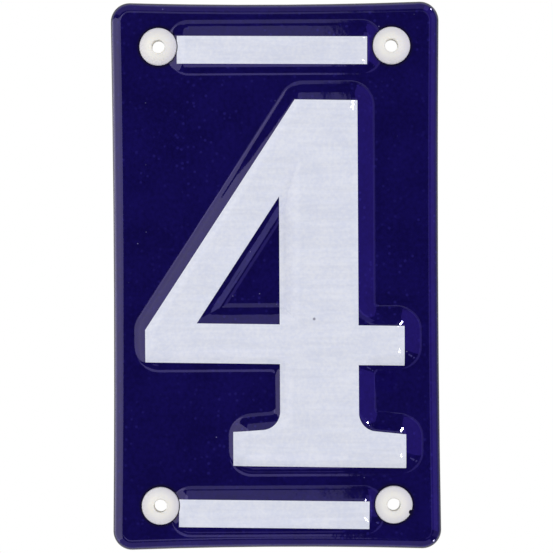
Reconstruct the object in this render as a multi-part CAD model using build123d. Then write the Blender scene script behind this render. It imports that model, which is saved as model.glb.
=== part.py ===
from build123d import *
from math import atan2, hypot, pi, radians, tan
import os

# A house number plaque: one pressed steel plate in blue enamel, white enamel on its raised
# numeral and bars, and four push-in bushes for the wall screws. Every piece is modelled lying
# face up with the wall plane at zero height, as it leaves the press, and then stood up with
# +Z up, the front towards -Y and the origin on the wall at the middle of the screw holes.
# Lengths are in millimetres, X runs along the width and Y along the height of the lying plate.

# Sheet and its turned edge
SHEET = 1.0              # steel with its blue enamel
RIM_DEPTH = 4.5          # from the wall to the face of the field
RIM_RUN = 2.4            # width of the slope between the field and the upright edge, in plan
RIM_FALL = 1.8           # how far the slope falls
RIM_ROLL = 2.5           # outside radius where the slope rolls over into the upright edge
BEND_INSIDE = 0.2        # inside radius where the field bends into the slope
CORNER_RADIUS = 5.2      # corners of the plate, in plan
SIDE_BOW = 0.55          # how far each long edge draws in at its middle
END_BOW = 0.8            # how far each short edge draws in at its middle
EDGE_BEAD = 0.3          # rounding of the enamelled cut edge

# Pressing
NUMERAL_RELIEF = 2.4     # height of the numeral above the field
NUMERAL_FLANK = 3.2      # width of its flank, in plan
NUMERAL_SHOULDER = 8.0   # radius where its land turns over into the flank
BAR_RELIEF = 1.5
BAR_FLANK = 2.75
BAR_SHOULDER = 8.5
FOOT_RADIUS = 2.4        # where a flank runs out into the field
SHOULDER_SHARE = 0.95    # of the room beside the foot that a shoulder may take
LAND_CORNER = 0.15       # outward corners left on the level land, in plan
FIELD_CORNER = 0.7       # inward corners left in the level field, in plan
STEM_SHORT = 1.5         # how far the pressed stem and base stop short of the white on the left
COUNTER_UNDER = 3.3      # how far the pressed counter runs on under the white stem
COUNTER_LIFT = 0.6       # how far its lower side lies above the white one
CROSSBAR_LIFT = 0.6      # how far the crossbar is pressed higher on its underside
TOP_BAR_SPARE = 1.25     # how much higher the top bar is pressed than it is printed

# Numeral
NUMERAL_HEIGHT = 100.7
STEM_WIDTH = 21.6
NOSE_REACH = 36.9        # from the stem to the left tip of the crossbar
NOSE_HEIGHT = 8.9        # upright end of that tip
ARM_REACH = 12.6         # from the stem to the right end of the crossbar
CROSSBAR_HEIGHT = 10.9
CROSSBAR_RAISE = 28.1    # from the foot of the numeral to the crossbar
DIAGONAL_WIDTH = 10.8
TOP_WIDTH = 17.2         # level top of the numeral
SERIF_REACH = 12.9       # from the stem to each end of the base
SERIF_HEIGHT = 9.3       # at the ends of the base
SERIF_RISE = 1.1         # how much higher the base is where it meets the stem
BRACKET_RADIUS = 5.0     # curve between base and stem

# Bars above and below the numeral
BAR_LENGTH = 52.2
BAR_HEIGHT = 7.6

# Level field left between the pressed forms, or between them and the turned edge
FIELD_LEFT = 2.7
FIELD_RIGHT = 1.6
FIELD_BELOW = 0.14
FIELD_LOWER = 2.24
FIELD_UPPER = 1.22
FIELD_ABOVE = 1.5

# White enamel, laid on through a hand-held stencil that sits a little off the pressing
COAT = 0.15
STENCIL_LEFT = 0.8       # how far it lies to the left
STENCIL_DROP = 1.2       # how far it lies low on the numeral
TOP_BAR_DROP = 0.65      # and on each bar
BOTTOM_BAR_DROP = 0.9
NUMERAL_TILT = 1.0       # degrees, clockwise, of its level strokes
TOP_BAR_TILT = 0.45      # degrees, clockwise
BOTTOM_BAR_TILT = 0.9

# Bushes and their holes
HOLE_INSET_X = 13.2      # from the plate's long edges
HOLE_INSET_Y = 12.45     # from its short edges
BORE = 3.5               # for the wall screw
MOUTH_CHAMFER = 0.3
FLANGE_DIAMETER = 10.3
FLANGE_EDGE = 1.1        # thickness at the rim
FLANGE_CROWN = 1.7       # thickness at the mouth
FLANGE_ROUND = 0.5
NECK_DIAMETER = 5.8
BARB_DIAMETER = 6.8
TIP_DIAMETER = 5.4       # lead-in at the wall end
HOLE_CLEARANCE = 0.1     # radial, neck to plate
BARB_CLEARANCE = 0.05    # barb to the back of the sheet
SEAT_CLEARANCE = 0.2     # radial, flange to the pressed forms around it
CHIP_DIAMETER = 1.3      # nick broken out of one flange
CHIP_BEARING = -23.5     # degrees from +X

# What follows from the driving sizes. The lean of a slope is how far its two edges move
# sideways for each millimetre that the surface is offset, and its reach is how far it spreads
# in plan, with the rounding at its far side. A shoulder is no larger than its flank allows.
numeral_lean = tan(atan2(NUMERAL_RELIEF, NUMERAL_FLANK) / 2)
numeral_reach = NUMERAL_FLANK + FOOT_RADIUS * numeral_lean
numeral_room = hypot(NUMERAL_RELIEF, NUMERAL_FLANK) / numeral_lean - FOOT_RADIUS
numeral_shoulder = min(NUMERAL_SHOULDER, SHOULDER_SHARE * numeral_room)
bar_lean = tan(atan2(BAR_RELIEF, BAR_FLANK) / 2)
bar_reach = BAR_FLANK + FOOT_RADIUS * bar_lean
bar_room = hypot(BAR_RELIEF, BAR_FLANK) / bar_lean - FOOT_RADIUS
bar_shoulder = min(BAR_SHOULDER, SHOULDER_SHARE * bar_room)
rim_angle = atan2(RIM_FALL, RIM_RUN)
rim_lean = tan(rim_angle / 2)
rim_reach = RIM_RUN + (BEND_INSIDE + SHEET) * rim_lean
edge_lean = tan((pi / 2 - rim_angle) / 2)

numeral_width = NOSE_REACH + STEM_WIDTH + max(SERIF_REACH, ARM_REACH)
side_edge = rim_reach + SIDE_BOW
plate_width = 2 * (side_edge + numeral_reach) + FIELD_LEFT + numeral_width + FIELD_RIGHT
nose_x = -plate_width / 2 + side_edge + FIELD_LEFT + numeral_reach
stem_left = nose_x + NOSE_REACH
stem_right = stem_left + STEM_WIDTH

end_edge = rim_reach + END_BOW
top_bar_height = BAR_HEIGHT + TOP_BAR_SPARE
bars_and_feet = BAR_HEIGHT + top_bar_height + 4 * bar_reach + 2 * (end_edge + numeral_reach)
fields = FIELD_BELOW + FIELD_LOWER + FIELD_UPPER + FIELD_ABOVE
plate_height = NUMERAL_HEIGHT + bars_and_feet + fields
bottom_bar_y = -plate_height / 2 + end_edge + FIELD_BELOW + bar_reach + BAR_HEIGHT / 2
top_bar_y = plate_height / 2 - end_edge - FIELD_ABOVE - bar_reach - top_bar_height / 2
numeral_foot = bottom_bar_y + BAR_HEIGHT / 2 + bar_reach + FIELD_LOWER + numeral_reach

seat_radius = FLANGE_DIAMETER / 2 + SEAT_CLEARANCE
hole_x = plate_width / 2 - HOLE_INSET_X
hole_y = plate_height / 2 - HOLE_INSET_Y
HOLES = {
    "top_left": (-hole_x, hole_y),
    "top_right": (hole_x, hole_y),
    "bottom_left": (-hole_x, -hole_y),
    "bottom_right": (hole_x, -hole_y),
}
tall = RIM_DEPTH + NUMERAL_RELIEF + FLANGE_CROWN
NEAR = 0.001             # how near to a level a face has to lie to be picked there


def plate_outline(inset):
    """Rectangle whose four edges are arcs that draw in at their middles, with round corners."""
    x = plate_width / 2 - inset
    y = plate_height / 2 - inset
    edges = [
        ThreePointArc((-x, -y), (0, -y + END_BOW), (x, -y)),
        ThreePointArc((x, -y), (x - SIDE_BOW, 0), (x, y)),
        ThreePointArc((x, y), (0, y - END_BOW), (-x, y)),
        ThreePointArc((-x, y), (-x + SIDE_BOW, 0), (-x, -y)),
    ]
    outline = make_face(edges)
    return fillet(outline.vertices(), CORNER_RADIUS - inset)


def numeral_strokes(pressed):
    """Corner points of the numeral's outer edge and of its counter, clockwise from the top.

    The pressed numeral is narrower than the white one left of its stem, and its counter wider.
    """
    top = numeral_foot + NUMERAL_HEIGHT
    crossbar = numeral_foot + CROSSBAR_RAISE
    crossbar_top = crossbar + CROSSBAR_HEIGHT
    serif = numeral_foot + SERIF_HEIGHT
    bracket = serif + SERIF_RISE
    stem_edge = stem_left + (STEM_SHORT if pressed else 0)
    underside = crossbar + (CROSSBAR_LIFT if pressed else 0)
    counter_right = stem_left + (COUNTER_UNDER if pressed else 0)
    counter_foot = crossbar_top + (COUNTER_LIFT if pressed else 0)
    base_left = stem_edge - SERIF_REACH
    base_right = stem_right + SERIF_REACH
    shoulder_x = stem_right - TOP_WIDTH
    nose_top = crossbar + NOSE_HEIGHT
    outer = [
        (shoulder_x, top),
        (stem_right, top),
        (stem_right, crossbar_top),
        (stem_right + ARM_REACH, crossbar_top),
        (stem_right + ARM_REACH, underside),
        (stem_right, underside),
        (stem_right, bracket),
        (base_right, serif),
        (base_right, numeral_foot),
        (base_left, numeral_foot),
        (base_left, serif),
        (stem_edge, bracket),
        (stem_edge, underside),
        (nose_x, underside),
        (nose_x, nose_top),
    ]
    # The counter's slanting side runs parallel to the diagonal, one stroke further in.
    run = shoulder_x - nose_x
    rise = top - nose_top
    stroke_across = DIAGONAL_WIDTH * (run**2 + rise**2) ** 0.5 / rise
    apex = nose_top + (counter_right - stroke_across - nose_x) * rise / run
    toe = nose_x + stroke_across + (counter_foot - nose_top) * run / rise
    counter = [(counter_right, apex), (counter_right, counter_foot), (toe, counter_foot)]
    return outer, counter


def land_and_foot(sharp, flank, lean, shoulder, depth):
    """Plan of a raised form at its top and at its foot, from its sharp outline.

    Shrinking and growing back rounds the outward corners, growing and shrinking back rounds
    the inward ones, so that the rounding of shoulder and foot has room at each corner. The
    foot lies one flank outside the land, and both draw in by the lean for a deeper surface.
    """
    outward = LAND_CORNER + shoulder * lean
    inward = FIELD_CORNER + FOOT_RADIUS * lean
    core = offset(sharp, -outward, kind=Kind.INTERSECTION)
    rounded = offset(core, outward, kind=Kind.ARC)
    wide = offset(rounded, flank + inward, kind=Kind.INTERSECTION)
    foot = offset(wide, -inward - depth * lean, kind=Kind.ARC)
    land = offset(foot, -flank, kind=Kind.ARC)
    return land, foot


def land_and_floor(sharp, flank, lean, depth):
    """Plan of a sharp-cornered pit in a raised form, at the land and at the pit's floor."""
    land = offset(sharp, depth * lean, kind=Kind.INTERSECTION)
    floor = offset(land, -flank, kind=Kind.INTERSECTION)
    return land, floor


def raised_form(land, foot, level, relief):
    """Solid with sloping flanks between a foot outline at a level and the land above it."""
    return loft([(Pos(0, 0, level) * foot).face(), (Pos(0, 0, level + relief) * land).face()], ruled=True)


def rounded_land(form, radius):
    """A raised form with the edge of its land rounded."""
    return fillet(form.faces().sort_by(Axis.Z)[-1].edges(), radius)


def numeral_form(depth):
    """The raised numeral whose surface lies so deep under the plate's front."""
    outer, counter = [make_face(Polyline(*points, close=True)) for points in numeral_strokes(True)]
    level = RIM_DEPTH - depth
    land, foot = land_and_foot(outer, NUMERAL_FLANK, numeral_lean, numeral_shoulder, depth)
    strokes = raised_form(land, foot, level, NUMERAL_RELIEF)
    land, floor = land_and_floor(counter, NUMERAL_FLANK, numeral_lean, depth)
    pit = raised_form(land, floor, level, NUMERAL_RELIEF)
    return rounded_land(strokes - pit, numeral_shoulder - depth)


def bar_form(middle, height, depth):
    """A raised bar whose surface lies so deep under the plate's front."""
    sharp = Pos(0, middle) * Rectangle(BAR_LENGTH, height)
    land, foot = land_and_foot(sharp, BAR_FLANK, bar_lean, bar_shoulder, depth)
    return rounded_land(raised_form(land, foot, RIM_DEPTH - depth, BAR_RELIEF), bar_shoulder - depth)


def seats(depth):
    """Round clearings for the bush flanges in the pressed forms, down to the field."""
    level = RIM_DEPTH - depth
    seat = extrude(Pos(0, 0, level) * Circle(seat_radius + depth), tall)
    return [Pos(x, y) * seat for x, y in HOLES.values()]


def pan(depth):
    """The unpressed plate behind the surface so deep under its front, down to the wall.

    An upright edge rolls over into a slope all round, and the slope bends into the level field.
    """
    level = RIM_DEPTH - depth
    run = RIM_RUN - depth * (1 - rim_lean)
    fall = RIM_FALL - depth * (1 - edge_lean)
    block = extrude(plate_outline(depth), level)
    top = block.faces().sort_by(Axis.Z)[-1]
    block = chamfer(top.edges(), run, fall, reference=top)
    roll = block.edges().filter_by_position(Axis.Z, level - fall - NEAR, level - fall + NEAR)
    block = fillet(roll, RIM_ROLL - depth)
    return fillet(block.faces().sort_by(Axis.Z)[-1].edges(), BEND_INSIDE + SHEET - depth)


def pressed_form(depth):
    """All that lies behind the surface so deep under the plate's front, down to the wall."""
    level = RIM_DEPTH - depth
    bars = [bar_form(top_bar_y, top_bar_height, depth), bar_form(bottom_bar_y, BAR_HEIGHT, depth)]
    form = pan(depth) + numeral_form(depth) + bars
    level_faces = form.faces().filter_by(Plane.XY).filter_by_position(Axis.Z, level - NEAR, level + NEAR)
    field, *pit_floors = level_faces.sort_by(SortBy.AREA, reverse=True)
    feet = [wire.edges() for wire in field.inner_wires()]
    feet += [floor.outer_wire().edges() for floor in pit_floors]
    form = fillet([edge for foot in feet for edge in foot], FOOT_RADIUS + depth)
    return form - seats(depth)


def plate(front):
    """The pressed sheet: its front form less its back form, with the edge bead and the holes."""
    shell = front - pressed_form(SHEET)
    cut_edge = shell.faces().sort_by(Axis.Z)[0]
    shell = fillet(cut_edge.edges(), EDGE_BEAD)
    hole = extrude(Circle(NECK_DIAMETER / 2 + HOLE_CLEARANCE), tall)
    return shell - [Pos(x, y) * hole for x, y in HOLES.values()]


def numeral_stencil():
    """White numeral in plan, with bracketed serifs and strokes that sag to the right."""
    outer, counter = numeral_strokes(False)
    sag = tan(radians(NUMERAL_TILT))
    moved = []
    for points in (outer, counter):
        moved.append([(x - STENCIL_LEFT, y - STENCIL_DROP - sag * (x - stem_left)) for x, y in points])
    stencil = make_face(Polyline(*moved[0], close=True))
    brackets = [outer.index(point) for point in outer if point[1] == numeral_foot + SERIF_HEIGHT + SERIF_RISE]
    corners = [stencil.vertices().sort_by_distance(moved[0][index])[0] for index in brackets]
    return fillet(corners, BRACKET_RADIUS) - make_face(Polyline(*moved[1], close=True))


def bar_stencil(middle, drop, tilt):
    """White bar in plan, turned a little."""
    place = Pos(-STENCIL_LEFT, middle - drop) * Rot(0, 0, -tilt)
    return place * Rectangle(BAR_LENGTH, BAR_HEIGHT)


def coat(stencil, front, grown):
    """White enamel inside a stencil, between the front and the front grown by the coat."""
    return (extrude(stencil, tall) & grown) - front - seats(0)


def bush():
    """Push-in bush turned about its bore: barb behind the sheet, neck in it, flange in front."""
    bore = BORE / 2
    barb_end = RIM_DEPTH - SHEET - BARB_CLEARANCE
    rim = RIM_DEPTH + FLANGE_EDGE
    crown = RIM_DEPTH + FLANGE_CROWN
    section = Polyline(
        (bore, 0),
        (TIP_DIAMETER / 2, 0),
        (BARB_DIAMETER / 2, barb_end),
        (NECK_DIAMETER / 2, barb_end),
        (NECK_DIAMETER / 2, RIM_DEPTH),
        (FLANGE_DIAMETER / 2, RIM_DEPTH),
        (FLANGE_DIAMETER / 2, rim),
        (bore + MOUTH_CHAMFER, crown),
        (bore, crown - MOUTH_CHAMFER),
        close=True,
    )
    half = make_face(section)
    rim_corner = half.vertices().sort_by_distance((FLANGE_DIAMETER / 2, rim))[0]
    half = fillet(rim_corner, FLANGE_ROUND)
    return revolve(Plane.XZ * half, Axis.Z)


def chipped(piece):
    """A bush with a nick broken out of its flange, down through the rim."""
    nick = extrude(Pos(0, 0, RIM_DEPTH) * Circle(CHIP_DIAMETER / 2), tall)
    return piece - Rot(0, 0, CHIP_BEARING) * Pos(FLANGE_DIAMETER / 2, 0) * nick


front = pressed_form(0)
grown = pressed_form(-COAT)
nodes = {
    "plate": plate(front),
    "numeral_enamel": coat(numeral_stencil(), front, grown),
    "top_bar_enamel": coat(bar_stencil(top_bar_y, TOP_BAR_DROP, TOP_BAR_TILT), front, grown),
    "bottom_bar_enamel": coat(bar_stencil(bottom_bar_y, BOTTOM_BAR_DROP, BOTTOM_BAR_TILT), front, grown),
}
for corner, (x, y) in HOLES.items():
    piece = chipped(bush()) if corner == "bottom_right" else bush()
    nodes["bushing_" + corner] = Pos(x, y) * piece

os.makedirs("parts", exist_ok=True)
stand_up = Plane.XZ.location
for name, piece in nodes.items():
    export_step(stand_up * piece, f"parts/{name}.step")
print(f"plate {plate_width:.2f} x {plate_height:.2f}, holes {2 * hole_x:.2f} x {2 * hole_y:.2f}")
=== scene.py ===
from math import cos, pi, radians, sin

import bpy
import numpy as np
from mathutils import Matrix, Vector

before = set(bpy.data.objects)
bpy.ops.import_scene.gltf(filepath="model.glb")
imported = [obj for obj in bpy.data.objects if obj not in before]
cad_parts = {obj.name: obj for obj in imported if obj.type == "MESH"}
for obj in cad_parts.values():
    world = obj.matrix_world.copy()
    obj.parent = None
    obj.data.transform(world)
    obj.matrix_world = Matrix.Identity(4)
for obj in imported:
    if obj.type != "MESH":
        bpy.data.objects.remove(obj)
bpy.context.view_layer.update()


# Pressed plate: one sheet of thin steel, drawn over a die so that its edges turn back and the
# numeral and bars stand forward, then fired with a glassy dark blue enamel. Its back and its
# cut edge show only the rough black ground coat.

NAVY_DEEP = (0.0042, 0.0022, 0.056, 1)
NAVY_CLEAR = (0.0066, 0.0037, 0.085, 1)
# Painted shadow: the darker navy of a ring round each bush flange, and the radii it fades between.
NAVY_PAINTED_SHADOW = (0.007, 0.005, 0.03, 1)
PAINTED_SHADOW_RADII = (0.0053, 0.0063)
BUBBLE_BLUE = (0.0125, 0.0085, 0.12, 1)
BUBBLE_SWARM = 38.0
SWARM_EDGE = (0.4, 0.6)
SWARM_LEAST = 0.4
PINHOLE_PALE = (0.20, 0.19, 0.40, 1)
GROUND_COAT = (0.012, 0.012, 0.016, 1)
GROUND_FLECK = (0.06, 0.06, 0.075, 1)
GLAZE_TINT = (0.62, 0.58, 1.0, 1)
GLAZE_ROUGH = 0.05
GROUND_ROUGH = 0.32
GLAZE_RELIEF = 0.00008
GLAZED_TO = 0.53
EDGE_BLUR = 0.05
RAGGED = 0.3
RAGGED_GRAIN = 1400.0
BUSH_AT = (0.032, 0.0, 0.063)


def put(tree, kind, inputs=None, **settings):
    """Add a shader node; each named input takes a plain value, or is joined to an output."""
    node = tree.nodes.new("ShaderNode" + kind)
    for name, value in settings.items():
        setattr(node, name, value)
    for name, value in (inputs or {}).items():
        if isinstance(value, bpy.types.NodeSocket):
            tree.links.new(value, node.inputs[name])
        else:
            node.inputs[name].default_value = value
    return node


def new_group(name, inputs, output):
    """An empty shader node group with float inputs and one float output, and its two end nodes."""
    group = bpy.data.node_groups.new(name, "ShaderNodeTree")
    for label, value in inputs.items():
        socket = group.interface.new_socket(label, in_out="INPUT", socket_type="NodeSocketFloat")
        socket.default_value = value
    group.interface.new_socket(output, in_out="OUTPUT", socket_type="NodeSocketFloat")
    return group, group.nodes.new("NodeGroupInput").outputs, group.nodes.new("NodeGroupOutput")


def glaze_group():
    """Height of a fired glaze: a long swell, plus a short orange peel, in parts of one."""
    group, given, made = new_group("fired_glaze", {"Swell": 90.0, "Peel": 700.0, "Peel Share": 0.1}, "Height")
    place = put(group, "TexCoord").outputs["Object"]
    swell = put(group, "TexNoise", {"Vector": place, "Scale": given["Swell"], "Detail": 1.0})
    peel = put(group, "TexNoise", {"Vector": place, "Scale": given["Peel"], "Detail": 2.0})
    both = put(group, "Math", {0: peel.outputs[0], 1: given["Peel Share"], 2: swell.outputs[0]},
               operation="MULTIPLY_ADD")
    group.links.new(both.outputs[0], made.inputs["Height"])
    return group


def mottle_group():
    """Uneven colour of a fired glaze: cloudy patches and a fine grain, from zero to one."""
    group, given, made = new_group("glaze_mottle", {"Cloud": 110.0, "Grain": 900.0}, "Patch")
    place = put(group, "TexCoord").outputs["Object"]
    cloud = put(group, "TexNoise", {"Vector": place, "Scale": given["Cloud"], "Detail": 3.0})
    grain = put(group, "TexNoise", {"Vector": place, "Scale": given["Grain"], "Detail": 2.0})
    both = put(group, "Mix", {0: 0.55, 2: cloud.outputs[0], 3: grain.outputs[0]})
    spread = put(group, "MapRange", {"Value": both.outputs[0], "From Min": 0.38, "From Max": 0.62})
    group.links.new(spread.outputs[0], made.inputs["Patch"])
    return group


def speck_group():
    """Scattered round specks: the inside of a small circle in a share of the cells of a lattice."""
    group, given, made = new_group("scattered_specks", {"Cells": 300.0, "Size": 0.08, "Share": 0.2}, "Speck")
    place = put(group, "TexCoord").outputs["Object"]
    cells = put(group, "TexVoronoi", {"Vector": place, "Scale": given["Cells"]})
    chance = put(group, "SeparateColor", {"Color": cells.outputs["Color"]}).outputs[0]
    chosen = put(group, "Math", {0: chance, 1: given["Share"]}, operation="LESS_THAN")
    core = put(group, "Math", {0: given["Size"], 1: 0.5}, operation="MULTIPLY")
    inside = put(group, "MapRange", {"Value": cells.outputs["Distance"], "From Min": given["Size"],
                                     "From Max": core.outputs[0]})
    both = put(group, "Math", {0: chosen.outputs[0], 1: inside.outputs[0]}, operation="MULTIPLY")
    group.links.new(both.outputs[0], made.inputs["Speck"])
    return group


def bush_group():
    """Distance from the axis of the nearest bush: the length of (|x|, |z|) less half the spacings."""
    group, given, made = new_group("bush_distance", {}, "Away")
    place = put(group, "TexCoord").outputs["Object"]
    folded = put(group, "VectorMath", {0: place}, operation="ABSOLUTE")
    moved = put(group, "VectorMath", {0: folded.outputs[0], 1: BUSH_AT}, operation="SUBTRACT")
    flat = put(group, "VectorMath", {0: moved.outputs[0], 1: (1, 0, 1)}, operation="MULTIPLY")
    away = put(group, "VectorMath", {0: flat.outputs[0]}, operation="LENGTH")
    group.links.new(away.outputs["Value"], made.inputs["Away"])
    return group


bush_distance = bush_group()
fired_glaze = glaze_group()
glaze_mottle = mottle_group()
scattered_specks = speck_group()


def new_finish(name):
    """A fresh material, its node tree and its shader."""
    finish = bpy.data.materials.new(name)
    finish.use_nodes = True
    tree = finish.node_tree
    tree.nodes.clear()
    shader = put(tree, "BsdfPrincipled")
    put(tree, "OutputMaterial", {"Surface": shader.outputs[0]})
    return finish, tree, shader


def effect(tree, group, **values):
    """The output of one use of a shader node group, with its own values."""
    node = put(tree, "Group", node_tree=group)
    for name, value in values.items():
        node.inputs[name].default_value = value
    return node.outputs[0]


def blend(tree, share, one, two, **settings):
    """A colour that goes from one to two as the share goes from zero to one."""
    return put(tree, "Mix", {0: share, 6: one, 7: two}, data_type="RGBA", **settings).outputs[2]


def ripple(tree, shader, depth, **values):
    """Let the glaze's uneven height, times a depth in metres, tilt the shader's normal."""
    relief = put(tree, "Bump", {"Height": effect(tree, fired_glaze, **values), "Strength": 1.0, "Distance": depth})
    tree.links.new(relief.outputs[0], shader.inputs["Normal"])


def wear(piece, finish):
    """Give a piece one finish all over."""
    piece.data.materials.clear()
    piece.data.materials.append(finish)


blue_enamel, tree, shader = new_finish("blue_enamel")
navy = blend(tree, effect(tree, glaze_mottle), NAVY_DEEP, NAVY_CLEAR)
place = put(tree, "TexCoord")
swarm = put(tree, "TexNoise", {"Vector": place.outputs["Object"], "Scale": BUBBLE_SWARM, "Detail": 1.0})
gathered = put(tree, "MapRange", {"Value": swarm.outputs[0], "From Min": SWARM_EDGE[0], "From Max": SWARM_EDGE[1],
                                  "To Min": SWARM_LEAST})
bubbles = put(tree, "Math", {0: effect(tree, scattered_specks, Cells=620.0, Size=0.32, Share=0.4),
                             1: gathered.outputs[0]}, operation="MULTIPLY").outputs[0]
pinholes = effect(tree, scattered_specks, Cells=420.0, Size=0.075, Share=0.10)
speckled = blend(tree, pinholes, blend(tree, bubbles, navy, BUBBLE_BLUE), PINHOLE_PALE)
# Painted shadow: the navy darkens in a ring round each bush flange, standing in for the contact shade under the
# flange rims.
painted_shadow_ring = put(tree, "MapRange", {"Value": effect(tree, bush_distance), "From Min": PAINTED_SHADOW_RADII[1],
                              "From Max": PAINTED_SHADOW_RADII[0]}, interpolation_type="SMOOTHSTEP")
navy_with_painted_shadow = blend(tree, painted_shadow_ring.outputs[0], speckled, NAVY_PAINTED_SHADOW)
flecks = effect(tree, scattered_specks, Cells=700.0, Size=0.3, Share=0.35)
ground = blend(tree, flecks, GROUND_COAT, GROUND_FLECK)

# The glaze runs thin where the sheet turns away from the front: there the ground coat is bare.
forward = put(tree, "SeparateXYZ", {0: place.outputs["Normal"]}).outputs["Y"]
ragged = put(tree, "TexNoise", {"Vector": place.outputs["Object"], "Scale": RAGGED_GRAIN, "Detail": 2.0})
edge = put(tree, "Math", {0: ragged.outputs[0], 1: RAGGED, 2: forward}, operation="MULTIPLY_ADD")
bare = put(tree, "MapRange", {"Value": edge.outputs[0], "From Min": RAGGED / 2 - GLAZED_TO - EDGE_BLUR,
                              "From Max": RAGGED / 2 - GLAZED_TO + EDGE_BLUR}).outputs[0]
tree.links.new(blend(tree, bare, navy_with_painted_shadow, ground), shader.inputs["Base Color"])
rough = put(tree, "MapRange", {"Value": bare, "To Min": GLAZE_ROUGH, "To Max": GROUND_ROUGH})
tree.links.new(rough.outputs[0], shader.inputs["Roughness"])
shader.inputs["Specular Tint"].default_value = GLAZE_TINT
ripple(tree, shader, GLAZE_RELIEF)
wear(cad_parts["plate"], blue_enamel)


# White enamel on the numeral and the bars: a second firing, dusted on through a stencil that
# lay a little off the pressing. It is a thin glassy coat, faintly blue and not quite even,
# with one dark blemish on the stem.

WHITE_COOL = (0.735, 0.765, 0.90, 1)
WHITE_WARM = (0.815, 0.835, 0.93, 1)
WHITE_ROUGH = 0.04
WHITE_SHINE = 0.2
STREAKS = (70.0, 900.0, 900.0)
STREAK_SHADE = 0.95
BLEMISH = (0.0104, -0.00705, -0.0119)
BLEMISH_RADII = (0.0002, 0.0005)
BLEMISH_GREY = (0.25, 0.25, 0.32, 1)
COATS = ("numeral_enamel", "top_bar_enamel", "bottom_bar_enamel")

white_enamel, tree, shader = new_finish("white_enamel")
white = blend(tree, effect(tree, glaze_mottle, Cloud=140.0, Grain=1100.0), WHITE_COOL, WHITE_WARM)
place = put(tree, "TexCoord").outputs["Object"]
along = put(tree, "VectorMath", {0: place, 1: STREAKS}, operation="MULTIPLY")
dusted = put(tree, "TexNoise", {"Vector": along.outputs[0], "Scale": 1.0, "Detail": 3.0})
streak = put(tree, "MapRange", {"Value": dusted.outputs[0], "From Min": 0.35, "From Max": 0.65,
                                "To Min": STREAK_SHADE})
streaked = blend(tree, 1.0, white, streak.outputs[0], blend_type="MULTIPLY")
away = put(tree, "VectorMath", {0: place, 1: BLEMISH}, operation="DISTANCE")
marked = put(tree, "MapRange", {"Value": away.outputs["Value"], "From Min": BLEMISH_RADII[1],
                                "From Max": BLEMISH_RADII[0]})
tree.links.new(blend(tree, marked.outputs[0], streaked, BLEMISH_GREY), shader.inputs["Base Color"])
shader.inputs["Roughness"].default_value = WHITE_ROUGH
shader.inputs["Specular IOR Level"].default_value = WHITE_SHINE
ripple(tree, shader, GLAZE_RELIEF)
for name in COATS:
    wear(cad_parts[name], white_enamel)


# Bushes: white nylon, injection moulded, pushed through the corner holes until their barbs spring out behind the
# sheet. A screw goes through each bore to the wall. Towards the rims of their flanges the nylon is painted darker
# and bluer: painted shade where the rounded rims turn away from the light.

NYLON_COOL = (0.82, 0.81, 0.79, 1)
NYLON_CREAM = (0.85, 0.83, 0.76, 1)
# Painted shade: the darker, bluer nylon towards each flange rim, and the radii it spreads between.
NYLON_PAINTED_RIM_SHADE = (0.64, 0.63, 0.68, 1)
RIM_SHADE_RADII = (0.0030, 0.0052)
NYLON_ROUGH = 0.35
NYLON_RELIEF = 0.00002
NYLON_MILKY = 0.35
NYLON_DEPTH = 0.0008
NYLON_SPREAD = (1.0, 0.9, 0.8)

nylon, tree, shader = new_finish("nylon")
cream = blend(tree, effect(tree, glaze_mottle, Cloud=260.0, Grain=1800.0), NYLON_COOL, NYLON_CREAM)
# Painted shade: the flanges grow darker and bluer towards their rims, as shade on a rounded rim would.
painted_rim_shade = put(tree, "MapRange", {"Value": effect(tree, bush_distance), "From Min": RIM_SHADE_RADII[0],
                              "From Max": RIM_SHADE_RADII[1]})
tree.links.new(blend(tree, painted_rim_shade.outputs[0], cream, NYLON_PAINTED_RIM_SHADE), shader.inputs["Base Color"])
shader.inputs["Roughness"].default_value = NYLON_ROUGH
shader.inputs["Subsurface Weight"].default_value = NYLON_MILKY
shader.inputs["Subsurface Radius"].default_value = NYLON_SPREAD
shader.inputs["Subsurface Scale"].default_value = NYLON_DEPTH
ripple(tree, shader, NYLON_RELIEF, Swell=500.0, Peel=2500.0)
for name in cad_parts:
    if name.startswith("bushing"):
        wear(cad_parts[name], nylon)


# Floor: a wide round sheet of pale paper, lying level well below the plaque. It thins out to
# nothing towards its rim, so that no edge of it shows against the white behind.

FLOOR_DROP = 0.3
FLOOR_REACH = 1.6
FLOOR_FADE = (0.35, 1.5)
FLOOR_SIDES = 96
FLOOR_PALE = (0.86, 0.86, 0.86, 1)
FLOOR_ROUGH = 0.9


def disc(name, middle, half_long, half_wide, sides):
    """A flat oval on the stage: middle + half_long * cos(turn) + half_wide * sin(turn)."""
    turns = np.linspace(0, 2 * pi, sides, endpoint=False)[:, None]
    rim = np.array(middle) + np.cos(turns) * half_long + np.sin(turns) * half_wide
    mesh = bpy.data.meshes.new(name)
    mesh.from_pydata(rim.tolist(), [], [list(range(sides))])
    piece = bpy.data.objects.new(name, mesh)
    bpy.context.scene.collection.objects.link(piece)
    return piece


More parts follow.
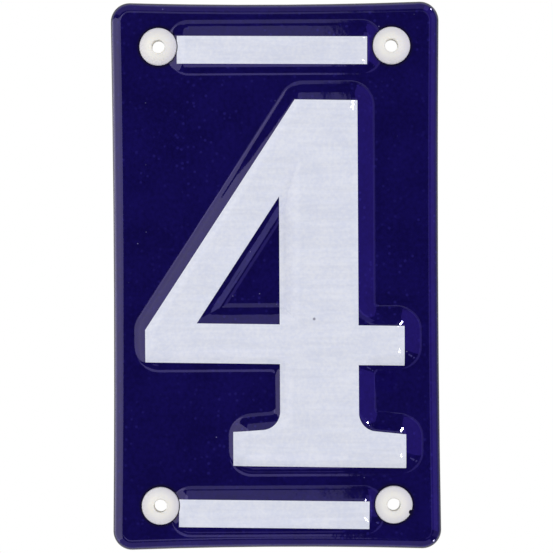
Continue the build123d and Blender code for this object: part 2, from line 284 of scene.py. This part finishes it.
floor = disc("floor", (0, 0, -FLOOR_DROP), np.array((FLOOR_REACH, 0, 0)), np.array((0, FLOOR_REACH, 0)), FLOOR_SIDES)
floor.visible_glossy = False
floor.visible_shadow = False
pale_floor, tree, shader = new_finish("pale_floor")
shader.inputs["Base Color"].default_value = FLOOR_PALE
shader.inputs["Roughness"].default_value = FLOOR_ROUGH
flat = put(tree, "VectorMath", {0: put(tree, "TexCoord").outputs["Object"], 1: (1, 1, 0)}, operation="MULTIPLY")
out = put(tree, "VectorMath", {0: flat.outputs[0]}, operation="LENGTH")
fade = put(tree, "MapRange", {"Value": out.outputs["Value"], "From Min": FLOOR_FADE[0], "From Max": FLOOR_FADE[1],
                              "To Min": 1.0, "To Max": 0.0}, interpolation_type="SMOOTHSTEP")
tree.links.new(fade.outputs[0], shader.inputs["Alpha"])
wear(floor, pale_floor)


# Room: even soft light from all round, and white to the eye. Mirrored in the glaze the room is
# dark in front of the plaque, bright beside and behind it, and dimmer straight behind and far
# to the right.

SOFT_LEVEL = 0.95
ROOM_LEVEL = 0.03
BACK_LEVEL = 0.15
RIGHT_LEVEL = 0.3

world = bpy.data.worlds.new("studio")
bpy.context.scene.world = world
world.use_nodes = True
tree = world.node_tree
tree.nodes.clear()
ray = put(tree, "LightPath").outputs
way = put(tree, "SeparateXYZ", {0: put(tree, "TexCoord").outputs["Generated"]}).outputs


def ramp(value, start, end, low, high):
    """A smooth step of the world's light, from low at start to high at end."""
    return put(tree, "MapRange", {"Value": value, "From Min": start, "From Max": end, "To Min": low, "To Max": high},
               interpolation_type="SMOOTHSTEP").outputs[0]


beside = ramp(way["Y"], 0.0, 0.25, ROOM_LEVEL, 1.0)
squarely = ramp(way["Y"], 0.6, 1.0, 1.0, BACK_LEVEL)
leftward = ramp(way["X"], 0.75, 0.98, 1.0, RIGHT_LEVEL)
even = put(tree, "Math", {0: beside, 1: squarely}, operation="MULTIPLY")
behind = put(tree, "Math", {0: even.outputs[0], 1: leftward}, operation="MULTIPLY")
mirrored = put(tree, "Math", {0: ray["Is Glossy Ray"], 1: ray["Is Transmission Ray"]}, operation="MAXIMUM")
seen = put(tree, "Mix", {0: mirrored.outputs[0], 2: SOFT_LEVEL, 3: behind.outputs[0]})
strength = put(tree, "Mix", {0: ray["Is Camera Ray"], 2: seen.outputs[0], 3: 1.0})
light = put(tree, "Background", {"Color": (1, 1, 1, 1), "Strength": strength.outputs[0]})
put(tree, "OutputWorld", {"Surface": light.outputs[0]})


# Cards: bright sheets set round the plaque, which only mirroring surfaces see, so that its
# level faces stay deep and its slopes catch the light. The far ones stand beside the lens, the
# near ones lie low against the turned edge, as paper round the plaque would.

CARDS_AWAY = 2.0
LEFT_SLANT = radians(17.7)
SLANT_WAY = (-0.839, 0, 0.544)
LILAC = (0.85, 0.82, 1.0)
VIOLET = (0.6, 0.5, 1.0)


def card(name, middle, size, level, facing=(0, 1, 0), turn=0.0, colour=(1, 1, 1), shape="RECTANGLE"):
    """A flat glowing card that only reflections see, square to the way it faces and turned on it."""
    glow = bpy.data.lights.new(name, "AREA")
    glow.shape = shape
    glow.size, glow.size_y = size
    area = size[0] * size[1] * (pi / 4 if shape == "ELLIPSE" else 1)
    glow.energy = level * pi * area
    glow.color = colour
    holder = bpy.data.objects.new(name, glow)
    aim = Vector(facing).to_track_quat("-Z", "Y").to_matrix().to_4x4()
    holder.matrix_world = Matrix.Translation(middle) @ aim @ Matrix.Rotation(turn, 4, "Z")
    holder.visible_diffuse = False
    holder.visible_camera = False
    bpy.context.scene.collection.objects.link(holder)
    return holder


card("left_card", (-0.15, -0.2876, 0.0587), (0.72, 0.246), 2.0, facing=(1, 0, 0), turn=LEFT_SLANT,
     colour=(1.0, 0.95, 1.0))
card("right_card", (0.30, -0.36, 0.34), (0.60, 0.92), 1.3, facing=(-1, 0, 0), colour=(0.25, 0.15, 1.0))
card("right_foot_card", (0.74, -CARDS_AWAY, 0.0), (0.74, 2.4), 1.1, colour=(0.45, 0.38, 1.0))
card("slant_card", (0.829, -0.48, -0.541), (0.39, 0.08), 2.0, facing=SLANT_WAY, colour=(0.6, 0.58, 1.0))
card("top_card", (-0.37, -CARDS_AWAY, 1.445), (0.86, 2.31), 1.15, colour=LILAC)
card("bottom_card", (-0.37, -CARDS_AWAY, -0.95), (0.86, 1.1), 1.9, colour=(0.75, 0.7, 1.0))
card("line_card", (0.255, -CARDS_AWAY, 0.49), (0.39, 0.28), 1.15, colour=LILAC)
card("low_card", (-0.03, -0.0495, -0.15), (0.10, 0.009), 1.2, facing=(0, 0, 1), colour=VIOLET)
card("strip_above", (-0.01, -0.005, 0.090), (0.13, 0.012), 0.85, facing=(0, 0, -1), colour=VIOLET)
card("strip_below", (-0.01, -0.005, -0.090), (0.13, 0.012), 1.0, facing=(0, 0, 1), colour=VIOLET)
card("strip_right", (0.056, -0.004, 0.0), (0.010, 0.16), 0.45, facing=(-1, 0, 0), colour=VIOLET)


# Lamps: two long bright ones to the right, shining on the white coats alone, make the glints in
# their corners, and two small low ones those on the right corners of the plate's turned edge.
# A small black flag hides the lower lamp from the inner corner under the crossbar. Five tiny
# lamps with narrow beams, each close to one corner, make the sparks on the numeral and the bar.

GLINT_AWAY = CARDS_AWAY - 0.02
GLINT_LEVEL = 110.0
ABOVE_TURN = radians(50.6)
BELOW_TURN = radians(-60)
CORNER_LEVEL = 60.0
CORNER_AT = (0.26, -0.005, 0.29)
CORNER_SIZE = (0.03, 0.03)
SPARK_LEVEL = 12.0
SPARK_TURN = radians(50)
FLAG_AT = (0.0296, -0.0266, -0.0277)
FLAG_LONG = 0.0055
FLAG_WIDE = 0.0035
FLAG_SIDES = 24

white_coats = bpy.data.collections.new("white_coats")
blue_plate = bpy.data.collections.new("blue_plate")
for name in COATS:
    white_coats.objects.link(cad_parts[name])
blue_plate.objects.link(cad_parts["plate"])
glints = (card("glint_above", (0.591, -GLINT_AWAY, 0.789), (1.2, 0.22), GLINT_LEVEL, turn=ABOVE_TURN),
          card("glint_below", (0.38, -GLINT_AWAY, -0.62), (0.70, 0.20), GLINT_LEVEL, turn=BELOW_TURN))
for lamp in glints:
    lamp.light_linking.receiver_collection = white_coats
for name, side in (("corner_above", 1), ("corner_below", -1)):
    lamp = card(name, (CORNER_AT[0], CORNER_AT[1], CORNER_AT[2] * side), CORNER_SIZE, CORNER_LEVEL,
                facing=(-1, 0, -side), shape="ELLIPSE")
    lamp.light_linking.receiver_collection = blue_plate


def spark(name, corner, way, away, size, spread, receivers):
    """A tiny lamp off one corner, where the corner mirrors it to the lens, with a narrow beam back to it."""
    way = Vector(way).normalized()
    lamp = card(name, Vector(corner) + way * away, size, SPARK_LEVEL, facing=-way, turn=SPARK_TURN)
    lamp.data.spread = radians(spread)
    lamp.light_linking.receiver_collection = receivers


spark("spark_arm", (0.0342, -0.0066, -0.0131), (0.337, -1, 0.473), 0.007, (0.0033, 0.0010), 36, blue_plate)
spark("spark_base", (0.0340, -0.0066, -0.0423), (0.304, -1, 0.488), 0.007, (0.0033, 0.0012), 36, blue_plate)
spark("spark_inner", (0.0251, -0.0066, -0.0404), (0.428, -1, 0.466), 0.030, (0.0022, 0.0007), 8.5, blue_plate)
spark("spark_bar", (0.0240, -0.0058, -0.0617), (0.142, -1, 0.243), 0.007, (0.0007, 0.0008), 36, blue_plate)
spark("spark_top", (0.0214, -0.0070, 0.0461), (0.192, -1, 0.128), 0.007, (0.0028, 0.0017), 60, white_coats)

lengthways = np.array((cos(BELOW_TURN), 0, sin(BELOW_TURN)))
crossways = np.array((-sin(BELOW_TURN), 0, cos(BELOW_TURN)))
flag = disc("flag", FLAG_AT, FLAG_LONG * lengthways, FLAG_WIDE * crossways, FLAG_SIDES)
flag.visible_camera = False
flag.visible_diffuse = False
black, tree, shader = new_finish("black")
shader.inputs["Base Color"].default_value = (0, 0, 0, 1)
shader.inputs["Specular IOR Level"].default_value = 0.0
wear(flag, black)


# Camera: square on to the plaque from a metre in front of its face, and turned a hair off level,
# with its view a little wider than the plaque is high.

CAMERA_AWAY = 1.0
CAMERA_SIDE = 0.00014
CAMERA_RISE = -0.00022
CAMERA_ROLL = radians(0.3)
VIEW_WIDTH = 0.15186
FACE = 0.0045

lens = bpy.data.cameras.new("camera")
lens.sensor_width = 36.0
lens.lens = lens.sensor_width * CAMERA_AWAY / VIEW_WIDTH
camera = bpy.data.objects.new("camera", lens)
stand = Matrix.Translation((CAMERA_SIDE, -FACE - CAMERA_AWAY, CAMERA_RISE))
camera.matrix_world = stand @ Matrix.Rotation(CAMERA_ROLL, 4, "Y") @ Matrix.Rotation(radians(90), 4, "X")
bpy.context.scene.collection.objects.link(camera)
bpy.context.scene.camera = camera
bpy.context.scene.view_settings.view_transform = "Standard"
